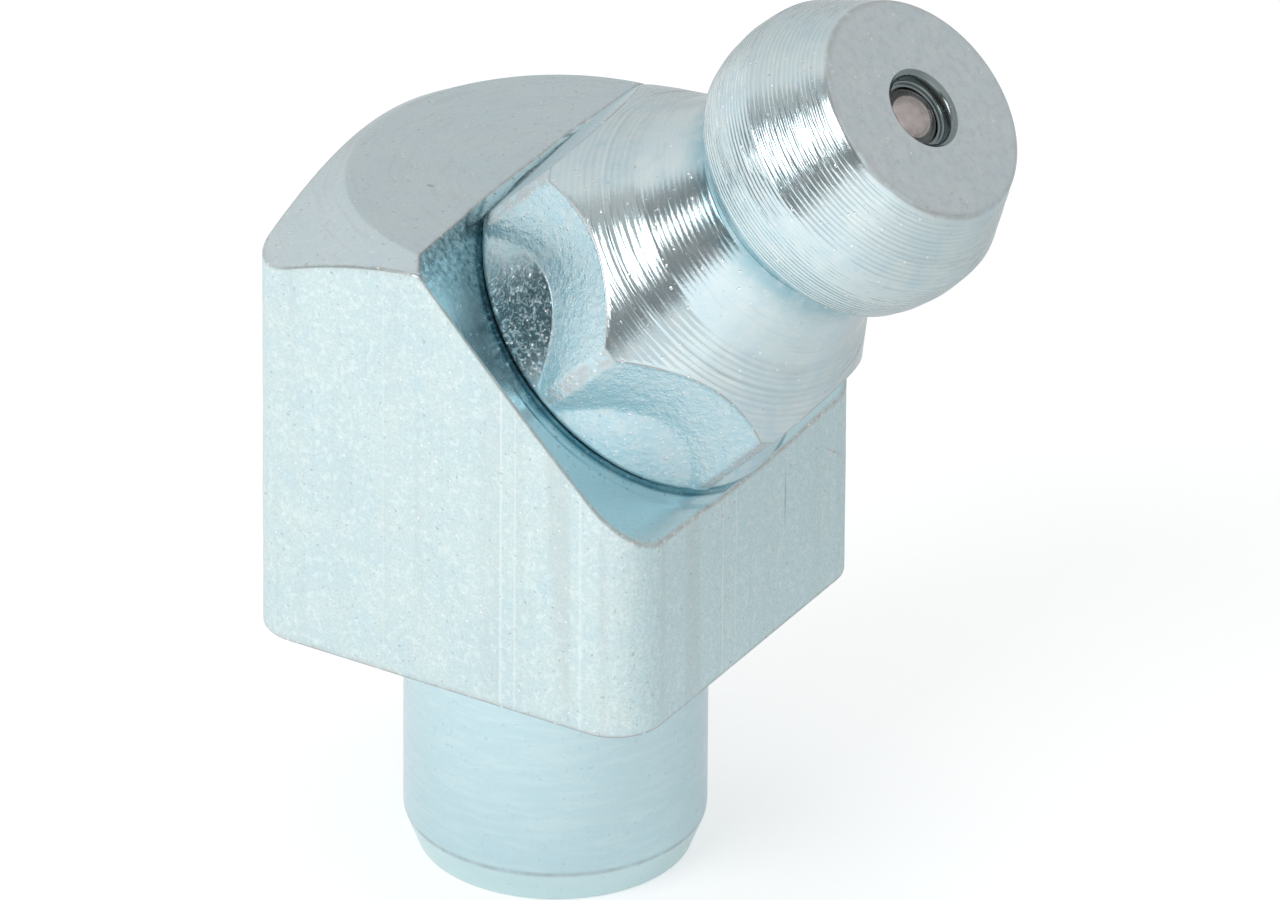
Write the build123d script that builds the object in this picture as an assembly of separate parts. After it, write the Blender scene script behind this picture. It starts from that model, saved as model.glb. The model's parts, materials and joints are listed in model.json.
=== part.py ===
from build123d import *
import os
from math import radians, sin, tan

# An angled grease nipple with a plain drive-in shank, in millimetres.
# The origin is on the shank's axis, at the shoulder that stops on the machine.
# +Z runs up the shank's axis, and the nipple leans over towards +X.

# The angle body: a length of nominal 9 mm square bar, turned at both ends.
# The bar sits a little off the axis that its ends are turned about.
bar_width = 8.93            # along X
bar_depth = 8.75            # along Y
bar_offset_x = 0.035
bar_offset_y = -0.125
bar_corner_radius = 1.05
body_height = 9.25
crown_radius = 4.14         # the flat circle that facing leaves on top
crown_angle = 31.5          # slope of the turned chamfer around it, in degrees
edge_break = 0.05           # softened edge around the shoulder

# The shank that is driven into the machine's hole.
shank_diameter = 6.0
shank_length = 5.46
lead_length = 0.74
lead_inset = 0.27           # how much the lead-in narrows the shank, on the radius

# Where the nipple stands on the body.
lean = 45.0                 # between the shank's axis and the nipple's axis
passage_bend_height = 4.93  # the two axes cross at this height
seat_distance = 2.515       # from that crossing to the slanted seat
seat_margin = 0.04          # flat rim of the seat around the nipple's collar
seat_dish_angle = 2.6       # how the seat rises outside that rim, in degrees

# The grease passage.
passage_diameter = 2.2
passage_mouth_chamfer = 0.25
drill_point_angle = 118.0

# The nipple, measured along its own axis from the seat.
collar_diameter = 7.72
collar_chamfer = 0.15        # around the collar's lower edge
blank_length = 2.26         # the plain round stretch that the hexagon is cut from
hexagon_across_flats = 6.85
hexagon_root_angle = 17.4   # half angle of the cone that the flats run down into
hexagon_root_height = 1.38  # where that cone meets the middle of each flat
hexagon_turn = 3.25         # how the hexagon happens to stand about its axis
hexagon_chamfer_angle = 33.5  # how the top of the hexagon is turned down, from the axis
flare_diameter = 5.74       # where that chamfer runs into the slimmer flare
flare_half_angle = 19.33
neck_diameter = 4.7
neck_length = 0.1
head_back_length = 0.665
head_back_diameter = 5.94
belly_diameter = 6.25
belly_rise = 0.85           # from the back edge of the belly to its widest point
belly_length = 1.5
belly_edge_diameter = 6.17
head_front_length = 1.55
head_flat_diameter = 4.6
head_edge_radius = 0.12

# The press fit that holds the nipple in the body.
spigot_diameter = 3.9
spigot_length = 1.9
spigot_chamfer = 0.2
spigot_interference = 0.01  # on the radius
spigot_end_gap = 0.25

# The check valve inside the nipple.
mouth_hole_diameter = 1.46
mouth_bevel = 0.08
mouth_bevel_width = 0.1
throat_diameter = 1.2
throat_depth = 0.32
valve_seat_half_angle = 30.0
ball_diameter = 1.6
ball_seat_clearance = 0.01
ball_play = 0.2             # all round the ball in its chamber

# The spring that holds the ball on its seat, and the lip that it stands on.
spring_play = 0.28          # all round the spring in the chamber
spring_wire_diameter = 0.24
spring_coils = 10
spring_clearance = 0.02
spring_lip_thickness = 0.35
spring_lip_width = 0.45

bend = Pos(0, 0, passage_bend_height)
nipple_place = bend * Rot(0, lean, 0) * Pos(0, 0, seat_distance)

chamfer_length = (collar_diameter - flare_diameter) / 2 / tan(radians(hexagon_chamfer_angle))
flare_start = blank_length + chamfer_length
flare_length = (flare_diameter - neck_diameter) / 2 / tan(radians(flare_half_angle))
neck_start = flare_start + flare_length
neck_end = neck_start + neck_length
belly_start = neck_end + head_back_length
belly_end = belly_start + belly_length
head_height = belly_end + head_front_length
spigot_end = -spigot_length

throat_height = head_height - throat_depth
valve_slope = tan(radians(valve_seat_half_angle))
valve_cone_tip = throat_height + throat_diameter / 2 / valve_slope
ball_reach = ball_diameter / 2 + ball_seat_clearance
ball_height = valve_cone_tip - ball_reach / sin(radians(valve_seat_half_angle))
chamber_diameter = ball_diameter + 2 * ball_play
lip_height = spigot_end + spring_lip_thickness


def turned(outline):
    """Revolve a closed outline of (radius, height) points or edges about Z."""
    return revolve(make_face(outline), Axis.Z)


def drilled(diameter, depth):
    """A drilled hole that opens at the origin and runs down -Z to a drill point."""
    radius = diameter / 2
    tip = radius / tan(radians(drill_point_angle / 2))
    outline = Polyline(
        (0, 0),
        (radius, 0),
        (radius, -depth),
        (0, -depth - tip),
        (0, 0),
    )
    return turned(Plane.XZ * outline)


def square_bar():
    """The bar with its rounded corners and the turned crown on top."""
    section = RectangleRounded(bar_width, bar_depth, bar_corner_radius)
    bar = extrude(Pos(bar_offset_x, bar_offset_y) * section, body_height)
    reach = bar_width
    crown = Plane.XZ * Polyline(
        (0, -1),
        (reach, -1),
        (reach, body_height - (reach - crown_radius) * tan(radians(crown_angle))),
        (crown_radius, body_height),
        (0, body_height),
        (0, -1),
    )
    bar = bar & turned(crown)
    shoulder_edges = bar.faces().sort_by(Axis.Z)[0].edges()
    return fillet(shoulder_edges, edge_break)


def shank():
    """The drive-in shank with its lead-in cone."""
    radius = shank_diameter / 2
    outline = Plane.XZ * Polyline(
        (0, 1),
        (radius, 1),
        (radius, lead_length - shank_length),
        (radius - lead_inset, -shank_length),
        (0, -shank_length),
        (0, 1),
    )
    return turned(outline)


def seat_cutter():
    """What facing takes off above the seat: flat in the middle, rising outside."""
    flat = collar_diameter / 2 + seat_margin
    far = 4 * bar_width
    outline = Plane.XZ * Polyline(
        (0, 0),
        (flat, 0),
        (far, (far - flat) * tan(radians(seat_dish_angle))),
        (far, far),
        (0, far),
        (0, 0),
    )
    return nipple_place * turned(outline)


def make_angle_body():
    """The square body and its shank, with the seat and the grease passage."""
    body = square_bar() + shank()
    body -= seat_cutter()
    body -= nipple_place * drilled(spigot_diameter, spigot_length + spigot_end_gap)
    body -= nipple_place * drilled(passage_diameter, seat_distance)
    outlet = Rot(180, 0, 0) * drilled(passage_diameter, shank_length + passage_bend_height)
    body -= Pos(0, 0, -shank_length) * outlet
    mouth_radius = passage_diameter / 2
    mouth = Plane.XZ * Polyline(
        (0, 0),
        (mouth_radius + passage_mouth_chamfer, 0),
        (mouth_radius, passage_mouth_chamfer),
        (0, passage_mouth_chamfer),
        (0, 0),
    )
    body -= Pos(0, 0, -shank_length) * turned(mouth)
    return body


def nipple_blank():
    """The turned outside of the nipple, from its spigot to the flat of its head."""
    collar = collar_diameter / 2
    neck = neck_diameter / 2
    spigot = spigot_diameter / 2 + spigot_interference
    belly_back = (head_back_diameter / 2, belly_start)
    belly_widest = (belly_diameter / 2, belly_start + belly_rise)
    belly_front = (belly_edge_diameter / 2, belly_end)
    lower = Polyline(
        (0, spigot_end),
        (spigot - spigot_chamfer, spigot_end),
        (spigot, spigot_end + spigot_chamfer),
        (spigot, 0),
        (collar - collar_chamfer, 0),
        (collar, collar_chamfer),
        (collar, blank_length),
        (flare_diameter / 2, flare_start),
        (neck, neck_start),
        (neck, neck_end),
        belly_back,
    )
    belly = ThreePointArc(belly_back, belly_widest, belly_front)
    upper = Polyline(
        belly_front,
        (head_flat_diameter / 2, head_height),
        (0, head_height),
        (0, spigot_end),
    )
    blank = turned(Plane.XZ * (lower + belly + upper))
    front_edge = blank.faces().sort_by(Axis.Z)[-1].edges()
    return fillet(front_edge, head_edge_radius)


def root_cone():
    """The cone round the foot of the hexagon, which the flats run down into."""
    flat = hexagon_across_flats / 2
    below = 1.0
    slope = tan(radians(hexagon_root_angle))
    outline = Plane.XZ * Polyline(
        (0, -below),
        (flat + (hexagon_root_height + below) * slope, -below),
        (0, hexagon_root_height + flat / slope),
        (0, -below),
    )
    return turned(outline)


def flat_cutter():
    """What is taken off for one flat, as far down as the cone at its foot."""
    flat = hexagon_across_flats / 2
    outside = collar_diameter
    outline = Plane.XZ * Polyline(
        (flat, -1),
        (outside, -1),
        (outside, neck_start),
        (flat, neck_start),
        (flat, -1),
    )
    return extrude(make_face(outline), collar_diameter / 2, both=True) - root_cone()


def valve_chamber():
    """The through bore: mouth, throat, ball seat, spring chamber and its lip."""
    hole = mouth_hole_diameter / 2
    throat = throat_diameter / 2
    chamber = chamber_diameter / 2
    lip = chamber - spring_lip_width
    chamber_top = throat_height - (chamber - throat) / valve_slope
    outline = Plane.XZ * Polyline(
        (0, head_height),
        (hole + mouth_bevel_width, head_height),
        (hole, head_height - mouth_bevel),
        (hole, throat_height),
        (throat, throat_height),
        (chamber, chamber_top),
        (chamber, lip_height),
        (lip, lip_height),
        (lip, spigot_end),
        (0, spigot_end),
        (0, head_height),
    )
    return turned(outline)


def make_nipple():
    """The nipple as it stands on the seat."""
    nipple = nipple_blank()
    cutter = flat_cutter()
    for side in range(6):
        nipple -= Rot(0, 0, 60 * side + hexagon_turn) * cutter
    nipple -= valve_chamber()
    return nipple_place * nipple


def make_check_ball():
    """The ball, resting in its seat."""
    return nipple_place * Pos(0, 0, ball_height) * Sphere(ball_diameter / 2)


def make_ball_spring():
    """The coil spring, ground flat at both ends, between the lip and the ball."""
    wire = spring_wire_diameter / 2
    coil = chamber_diameter / 2 - spring_play - wire
    ball_drop = ((ball_diameter / 2) ** 2 - (coil - wire) ** 2) ** 0.5
    length = ball_height - ball_drop - spring_clearance - lip_height
    path = Helix(length / spring_coils, length, coil)
    start = Plane(path @ 0, z_dir=path % 0)
    spring = sweep(start * Circle(wire), path, is_frenet=True)
    between = Cylinder(2 * coil, length, align=(Align.CENTER, Align.CENTER, Align.MIN))
    return nipple_place * Pos(0, 0, lip_height) * (spring & between)


os.makedirs("parts", exist_ok=True)
export_step(make_angle_body(), "parts/angle_body.step")
export_step(make_nipple(), "parts/nipple.step")
export_step(make_check_ball(), "parts/check_ball.step")
export_step(make_ball_spring(), "parts/ball_spring.step")
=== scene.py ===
# %% [markdown]
# # A grease nipple on an angle body
#
# The real thing is small enough to lose in a pocket. A piece of square bar is turned down at one
# end to a shank that is driven into a hole. A slanted seat is faced across one upper corner, and a
# turned nipple with a hexagon round its foot is pressed into that seat. A spring inside pushes a
# steel ball against the mouth of the nipple. All of it is zinc plated, apart from the ball and its
# spring.
#
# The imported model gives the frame. The skins below are worked out as surfaces in the same place.

# %% The frame
import json

import bpy
import numpy as np
from mathutils import Matrix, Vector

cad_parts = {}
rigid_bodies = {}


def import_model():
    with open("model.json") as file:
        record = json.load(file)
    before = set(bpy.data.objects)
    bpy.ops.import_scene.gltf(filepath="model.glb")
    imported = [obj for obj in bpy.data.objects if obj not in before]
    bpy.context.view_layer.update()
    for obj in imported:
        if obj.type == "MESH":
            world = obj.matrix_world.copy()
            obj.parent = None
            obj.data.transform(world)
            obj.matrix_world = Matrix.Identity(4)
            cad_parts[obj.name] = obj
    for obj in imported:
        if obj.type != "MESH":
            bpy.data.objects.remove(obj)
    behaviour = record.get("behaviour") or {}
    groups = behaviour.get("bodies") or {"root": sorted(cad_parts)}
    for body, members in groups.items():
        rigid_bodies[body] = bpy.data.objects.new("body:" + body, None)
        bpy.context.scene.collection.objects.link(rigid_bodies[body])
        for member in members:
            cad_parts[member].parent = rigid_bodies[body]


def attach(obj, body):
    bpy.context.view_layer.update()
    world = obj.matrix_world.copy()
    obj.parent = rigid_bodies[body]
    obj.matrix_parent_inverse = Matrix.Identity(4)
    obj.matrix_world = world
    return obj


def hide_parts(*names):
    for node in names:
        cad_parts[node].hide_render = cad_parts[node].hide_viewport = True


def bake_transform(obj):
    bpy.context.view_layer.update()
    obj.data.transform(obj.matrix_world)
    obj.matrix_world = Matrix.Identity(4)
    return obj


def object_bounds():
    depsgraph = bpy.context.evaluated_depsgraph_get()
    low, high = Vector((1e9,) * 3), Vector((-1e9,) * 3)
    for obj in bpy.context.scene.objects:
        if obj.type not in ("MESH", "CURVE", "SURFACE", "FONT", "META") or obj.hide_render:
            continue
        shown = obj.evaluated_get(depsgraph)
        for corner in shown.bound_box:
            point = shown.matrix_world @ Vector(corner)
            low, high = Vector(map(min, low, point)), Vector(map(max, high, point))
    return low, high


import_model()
packed_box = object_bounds()

# %% [markdown]
# ## The camera
#
# A long lens stands 400 mm away, so the square bar's edges stay almost parallel. It looks down by
# 29.5 degrees and from 31 degrees round the part. The camera's place is built from its three
# axes: right, up and backwards.

# %% The camera
def stand(name, data, axes=None, place=None):
    """A new object in the scene. Its axes are the columns of its matrix, its place is in metres."""
    made = bpy.data.objects.new(name, data)
    if axes is not None:
        turned = Matrix(np.column_stack(axes).tolist()).to_4x4()
        made.matrix_world = Matrix.Translation(place) @ turned
    bpy.context.scene.collection.objects.link(made)
    return made


turn, tilt, roll = np.radians([31.10, 29.48, 0.40])
pixels_per_mm = 50.98
camera_distance = 400.0
picture_width, picture_height = 1280, 900
origin_pixel = (556.27, 589.67)

view_forward = np.array([-np.sin(turn) * np.cos(tilt), np.cos(turn) * np.cos(tilt), -np.sin(tilt)])
level_right = np.array([np.cos(turn), np.sin(turn), 0.0])
level_up = np.cross(level_right, view_forward)
view_right = np.cos(roll) * level_right + np.sin(roll) * level_up
view_up = np.cos(roll) * level_up - np.sin(roll) * level_right
camera_place = (
    (picture_width / 2 - origin_pixel[0]) / pixels_per_mm * view_right
    + (origin_pixel[1] - picture_height / 2) / pixels_per_mm * view_up
    - camera_distance * view_forward
)

camera_data = bpy.data.cameras.new("camera")
camera_data.sensor_fit = "HORIZONTAL"
camera_data.sensor_width = 36.0
camera_data.lens = camera_data.sensor_width * pixels_per_mm * camera_distance / picture_width
camera_data.clip_start = 0.01
camera_data.clip_end = 10.0
camera_axes = (view_right, view_up, -view_forward)
bpy.context.scene.camera = stand("camera", camera_data, camera_axes, camera_place * 0.001)
print("camera at", np.round(camera_place, 2), "mm, lens", round(camera_data.lens, 1), "mm")

# %% [markdown]
# ## Shader maths as Python
#
# A material is a small sum over sockets. Written as nodes, each plus and times takes four lines,
# so one class wraps a socket and gives it Python's operators. Each operator adds one Math node.
# A second class holds the tree of nodes, and one method of it adds them all.

# %% A socket that can be added and multiplied
class Socket:
    """A shader socket, or a plain number, that can stand in a Python sum."""

    def __init__(self, shader, value):
        self.shader = shader
        self.value = value

    def math(self, operation, *others, clamp=False):
        """Add one Math node that works on this value and the others."""
        inputs = dict(enumerate((self, *others)))
        return self.shader.node("Math", inputs, operation=operation, use_clamp=clamp)

    def __add__(self, other):
        return self.math("ADD", other)

    def __sub__(self, other):
        return self.math("SUBTRACT", other)

    def __rsub__(self, other):
        return Socket(self.shader, other).math("SUBTRACT", self)

    def __mul__(self, other):
        return self.math("MULTIPLY", other)

    __radd__ = __add__
    __rmul__ = __mul__

    def clipped(self):
        """Hold the value between 0 and 1."""
        return self.math("ADD", 0.0, clamp=True)

    def step(self, low, high):
        """Rise smoothly from 0 at low to 1 at high. It falls where low is above high."""
        if low > high:
            return 1 - self.step(high, low)
        inputs = {"Value": self, "From Min": low, "From Max": high}
        return self.shader.node("MapRange", inputs, interpolation_type="SMOOTHSTEP")

    def bell(self, middle, width):
        """A bump of height 1 at the middle that has gone at one width on either side."""
        return (self - middle).math("ABSOLUTE").math("DIVIDE", width).step(1.0, 0.0)


# %% The nodes of one material
class Shader:
    """The nodes of one material or world, cleared and ready to be filled."""

    def __init__(self, owner):
        owner.use_nodes = True
        self.tree = owner.node_tree
        self.tree.nodes.clear()

    def feed(self, target, value):
        """Link a Socket into one input, or write a plain value or a colour into it."""
        if isinstance(value, Socket):
            value = value.value
        if isinstance(value, bpy.types.NodeSocket):
            self.tree.links.new(value, target)
        elif target.type == "RGBA":
            target.default_value = (*value, 1.0)
        else:
            target.default_value = value

    def node(self, kind, inputs=None, output=0, **settings):
        """Add a node: its inputs and the output wanted go by name or number."""
        made = self.tree.nodes.new("ShaderNode" + kind)
        for name, setting in settings.items():
            setattr(made, name, setting)
        for name, value in (inputs or {}).items():
            self.feed(made.inputs[name], value)
        if isinstance(output, tuple):
            return [Socket(self, made.outputs[name]) for name in output]
        return Socket(self, made.outputs[output])

    def end_with(self, surface, kind="OutputMaterial"):
        """Link a finished shader to a new output node."""
        self.node(kind, {"Surface": surface}, ())

    def mix_colours(self, factor, first, second):
        """Mix two colours by a factor."""
        return self.node("Mix", {"Factor": factor, 6: first, 7: second}, 2, data_type="RGBA")

    def vector(self, operation, *values, output=0):
        """Add one Vector Math node."""
        return self.node("VectorMath", dict(enumerate(values)), output, operation=operation)

    def noise(self, place, size, detail=3.0, rough=0.6, distortion=0.0):
        """Cloudy noise whose features are about `size` metres across."""
        inputs = {"Vector": place, "Scale": 1.0 / size, "Detail": detail, "Roughness": rough}
        inputs["Distortion"] = distortion
        return self.node("TexNoise", inputs)


# %% [markdown]
# ## The studio
#
# A shiny part shows the room more than itself, so the room is drawn first. It is a pale tent with
# one softbox at the front left. Round the softbox the tent is open and darker, less so above it,
# which is what puts the dark streaks on either side of each highlight. The tent is a world colour
# that depends only on direction, and the softbox is an area lamp.

# %% The tent and the softbox
lamp_turn, lamp_rise = np.radians([-104.0, 36.0])
to_lamp = np.array(
    [np.cos(lamp_rise) * np.cos(lamp_turn), np.cos(lamp_rise) * np.sin(lamp_turn), np.sin(lamp_rise)]
)
part_middle = np.array([0.0015, 0.0, 0.004])
lamp_right = np.cross([0.0, 0.0, 1.0], to_lamp)
lamp_right /= np.linalg.norm(lamp_right)
lamp_up = np.cross(to_lamp, lamp_right)
tent_brightness = 0.88
darker_back = 0.25
opening_depth = 0.70
shallower_above = 0.34

world = bpy.data.worlds.new("tent")
bpy.context.scene.world = world
tent = Shader(world)
direction = tent.node("TexCoord")
toward_lamp = tent.vector("DOT_PRODUCT", direction, tuple(to_lamp), output=1)
away_degrees = toward_lamp.math("ARCCOSINE") * (180.0 / np.pi)
toward_back = tent.vector("DOT_PRODUCT", direction, (0.35, 0.87, 0.35), output=1)
tent_light = tent_brightness - darker_back * toward_back.step(-0.35, 0.85)
open_side = away_degrees.step(47.0, 37.0)
above_lamp = tent.vector("DOT_PRODUCT", direction, tuple(lamp_up), output=1)
depth = opening_depth - shallower_above * above_lamp.step(-0.05, 0.40)
tent_light = tent_light * (1 - depth * open_side)
tent_colour = tent.node("CombineColor", {0: tent_light, 1: tent_light, 2: tent_light})
background = tent.node("Background", {"Color": tent_colour, "Strength": 1.0})
tent.end_with(background, "OutputWorld")

softbox_data = bpy.data.lights.new("softbox", "AREA")
softbox_data.shape = "RECTANGLE"
softbox_data.size = 0.17
softbox_data.size_y = 0.12
softbox_distance = 0.25
softbox_brightness = 3.0
softbox_area = softbox_data.size * softbox_data.size_y
softbox_data.energy = softbox_brightness * np.pi * softbox_area
softbox_place = part_middle + to_lamp * softbox_distance
stand("softbox", softbox_data, (lamp_right, lamp_up, to_lamp), softbox_place)
print("softbox", round(float(softbox_data.energy), 3), "W")

# %% [markdown]
# ## The floor
#
# The part stands on the end of its shank, on pale card. The card is a plain matt white. A little
# glow, which only the camera and mirror-like surfaces see, lifts it to white and leaves the
# part's own shadow in place. The card behind the part shows no glow in mirrors, so the seat and
# the flats keep a darker side.

# %% The floor
floor_size = 1.5
floor_mesh = bpy.data.meshes.new("floor")
floor_height = packed_box[0][2]
corners = [(-1, -1), (1, -1), (1, 1), (-1, 1)]
floor_points = [(x * floor_size, y * floor_size, floor_height) for x, y in corners]
floor_mesh.from_pydata(floor_points, [], [(0, 1, 2, 3)])
floor = stand("floor", floor_mesh)
card = bpy.data.materials.new("card")
paper = Shader(card)
rays = ("Is Camera Ray", "Is Glossy Ray", "Is Transmission Ray")
on_camera, in_gloss, through_glass = paper.node("LightPath", None, rays)
card_place = paper.node("NewGeometry", None, "Position")
toward_front = paper.vector("DOT_PRODUCT", card_place, (-0.53, -0.85, 0.0), output=1) * 1000.0
brightest_glow = 0.42
mirror_glow = (in_gloss + through_glass) * brightest_glow * toward_front.step(-24.0, 20.0)
glow_strength = (on_camera * 0.40 + mirror_glow).math("MINIMUM", brightest_glow)
matt = paper.node("BsdfDiffuse", {"Color": (0.86, 0.87, 0.87)})
glow = paper.node("Emission", {"Color": (1.0, 1.0, 1.0), "Strength": glow_strength})
paper.end_with(paper.node("AddShader", {0: matt, 1: glow}))
floor_mesh.materials.append(card)
print("floor at", round(floor_height * 1000, 2), "mm")

# %% [markdown]
# ## Skins as grids
#
# Each piece below is one closed sheet of four-sided faces. A grid has rows and columns of points,
# worked out as whole arrays, and both ends of the grid are joined to each other: round the part
# one way, and out along it and back through its bore the other way. So such a skin is a ring
# shape with no seam and no open edge. A ball and a wire have no bore, so theirs is a tube whose
# two ends are closed with a fan of faces.

# %% Soft rises, humps and crossings
def smooth_rise(value):
    """0 below 0, 1 above 1, and 3v^2 - 2v^3 between."""
    value = np.clip(value, 0.0, 1.0)
    return value * value * (3.0 - 2.0 * value)


def hump(value, width, power=2):
    """exp(-(v / w)^power): 1 where the value is 0, nearly gone at two widths away."""
    return np.exp(-((value / width) ** power))


def soft_least(width, *surfaces):
    """The lowest of several heights, rounded where they cross: -w log(sum of exp(-h / w))."""
    stack = np.stack(np.broadcast_arrays(*surfaces)) / -width
    highest = stack.max(axis=0)
    return -width * (highest + np.log(np.exp(stack - highest).sum(axis=0)))


# %% From a grid of points to a mesh
def grid_normals(points):
    """The cross product of the central differences along a ring-shaped grid, made unit length."""
    down, across = (np.roll(points, -1, axis) - np.roll(points, 1, axis) for axis in (0, 1))
    normals = np.cross(across, down)
    return normals / np.maximum(np.linalg.norm(normals, axis=2, keepdims=True), 1e-12)


def ring_faces(rows, columns):
    """Corner numbers of the faces between each row and column and the next, both ways round."""
    number = np.arange(rows * columns).reshape(rows, columns)
    right = np.roll(number, -1, axis=1)
    corners = [number, right, np.roll(right, -1, axis=0), np.roll(number, -1, axis=0)]
    return np.stack(corners, axis=-1).reshape(-1, 4)


def capped_faces(rows, columns):
    """A tube of rings closed at both ends: each end's faces join its centre to three neighbours."""
    tube = ring_faces(rows, columns)[: (rows - 1) * columns]
    first = np.arange(0, columns, 2)[:, None]
    fan = (first + np.arange(3)) % columns
    centre = np.full_like(first, rows * columns)
    near_end = np.hstack([centre, fan[:, ::-1]])
    far_end = np.hstack([centre + 1, fan + (rows - 1) * columns])
    return np.concatenate([tube, near_end, far_end])


def signed_volume(points, faces):
    """The sum over faces of a . (b x c) / 6, for both triangles of each four-sided face."""
    a, b, c, d = (points[faces[:, k]] for k in range(4))
    return float((a * (np.cross(b, c) + np.cross(c, d))).sum() / 6.0)


def make_skin(name, points, faces, extras=None):
    """Put points (mm) and faces into a new object, in metres, turned so that it faces outwards."""
    points = points.reshape(-1, 3)
    if signed_volume(points, faces) < 0:
        faces = faces[:, ::-1]
    mesh = bpy.data.meshes.new(name)
    mesh.vertices.add(len(points))
    mesh.vertices.foreach_set("co", (points * 0.001).astype(np.float32).ravel())
    mesh.loops.add(faces.size)
    mesh.loops.foreach_set("vertex_index", faces.ravel().astype(np.int32))
    mesh.polygons.add(len(faces))
    mesh.polygons.foreach_set("loop_start", np.arange(0, faces.size, 4, dtype=np.int32))
    mesh.polygons.foreach_set("use_smooth", np.ones(len(faces), dtype=bool))
    for label, values in (extras or {}).items():
        layer = mesh.attributes.new(label, "FLOAT", "POINT")
        layer.data.foreach_set("value", np.asarray(values, dtype=np.float32).ravel())
    mesh.update(calc_edges=True)
    mesh.validate()
    print(name, len(points), "points,", 2 * len(faces), "triangles")
    return stand(name, mesh)


# %% [markdown]
# ## The nipple's own axis
#
# The nipple leans over by 45 degrees. All its sizes are measured along its own axis, from the
# seat, so one helper turns (across, sideways, along) into the part's x, y and z.

# %% The leaning frame
lean = np.radians(45.0)
along_axis = np.array([np.sin(lean), 0.0, np.cos(lean)])
across_axis = np.array([np.cos(lean), 0.0, -np.sin(lean)])
bend_height = 4.93
seat_distance = 2.515
seat_centre = np.array([0.0, 0.0, bend_height]) + seat_distance * along_axis


def leaning(across, sideways, along):
    """Point = seat centre + across * u + sideways * y + along * n."""
    parts = np.broadcast_arrays(across, sideways, along)
    sideways_axis = np.array([0.0, 1.0, 0.0])
    axes = (across_axis, sideways_axis, along_axis)
    return seat_centre + sum(part[..., None] * axis for part, axis in zip(parts, axes))


def leaning_ring(radius, angle, along):
    """A circle about the nipple's axis."""
    return leaning(radius * np.cos(angle), radius * np.sin(angle), along)


print("seat centre", np.round(seat_centre, 3), "mm")

# %% [markdown]
# ## The angle body
#
# On the real part this is square bar, turned at both ends, with a slanted seat faced across one
# shoulder. It could be cut with booleans, but the knife-thin edges they leave catch no light. As a
# grid it is one sheet. Each column starts at the rim of the hole for the nipple and runs straight
# out over the seat and the crown, over the edge, down the wall, under the shoulder, down the
# shank, and back up inside the grease passage. The top is a height over the plan: the lowest of
# the seat, the flat top and the turned crown, with each crossing slightly rounded.

# %% The bar's outline
bar_middle = np.array([0.035, -0.125])
bar_half = np.array([8.93, 8.75]) / 2
corner_radius = 1.05
body_top = 9.25
crown_radius = 4.14
crown_slope = np.tan(np.radians(31.5))


def bar_outline(straight, arc):
    """Points and outward normals round the bar: four straights joined by quarter circles."""
    inner = bar_half - corner_radius
    points = []
    normals = []
    for quarter in range(4):
        middle_angle = quarter * np.pi / 2
        facing = np.array([np.cos(middle_angle), np.sin(middle_angle)])
        sideways = np.array([-facing[1], facing[0]])
        reach = abs(facing @ bar_half)
        half_run = abs(sideways @ inner)
        run = np.linspace(-half_run, half_run, straight, endpoint=False)[:, None]
        points.append(reach * facing + run * sideways)
        normals.append(np.repeat(facing[None], straight, axis=0))
        angle = middle_angle + np.linspace(0.0, np.pi / 2, arc, endpoint=False)[:, None]
        round_normal = np.hstack([np.cos(angle), np.sin(angle)])
        centre = inner * (facing + sideways)
        points.append(centre + corner_radius * round_normal)
        normals.append(round_normal)
    return np.concatenate(points) + bar_middle, np.concatenate(normals)


outline, outline_normals = bar_outline(straight=58, arc=17)
print("outline", len(outline), "points")

# %% [markdown]
# The seat is flat under the nipple's collar. Round it the facing tool left a shallow ring, then
# the metal rises by 2.6 degrees to the edges. A height over the plan has to be found from a rise
# measured square to the slanted seat, so the sum is repeated a few times until it settles.

# %% The height of the body's top over its plan
def seat_rise(radius):
    """Rise square to the seat: 0, then a soft step at the tool's ring, then a 2.6 degree slope."""
    step = 0.02 * smooth_rise((radius - 4.10) / 0.12)
    slope = np.maximum(radius - 3.90, 0.0) * np.tan(np.radians(2.6))
    return step + slope


def seat_height(x, y):
    """z of the seat over (x, y). At 45 degrees, across = (x - x0) / sin - rise."""
    across = (x - seat_centre[0]) / np.sin(lean)
    rise = np.zeros_like(across)
    for _ in range(12):
        rise = seat_rise(np.hypot(across - rise, y))
    return seat_centre[2] - (across - rise) * np.sin(lean) + rise * np.cos(lean)


def crown_height(x, y):
    """The flat top, and the cone outside the circle that facing left."""
    radius = np.hypot(x, y)
    cone = body_top - (radius - crown_radius) * crown_slope
    return soft_least(0.008, np.full_like(radius, body_top), cone)


def top_height(x, y):
    """The lowest of the seat and the crown, rounded where they cross."""
    return soft_least(0.014, seat_height(x, y), crown_height(x, y))


# %% [markdown]
# Each column runs out over the plan from the middle of the hole. On its way it crosses two
# creases: the edge of the seat and the circle that facing left. A closely spaced row of probes
# finds both. Grid rows then follow them, so that an edge is a line of points and stays crisp.

# %% Where each column crosses the creases
hole_middle = seat_centre[:2]
to_outline = outline - hole_middle
reach = np.linalg.norm(to_outline, axis=1)
heading = to_outline / reach[:, None]

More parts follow.
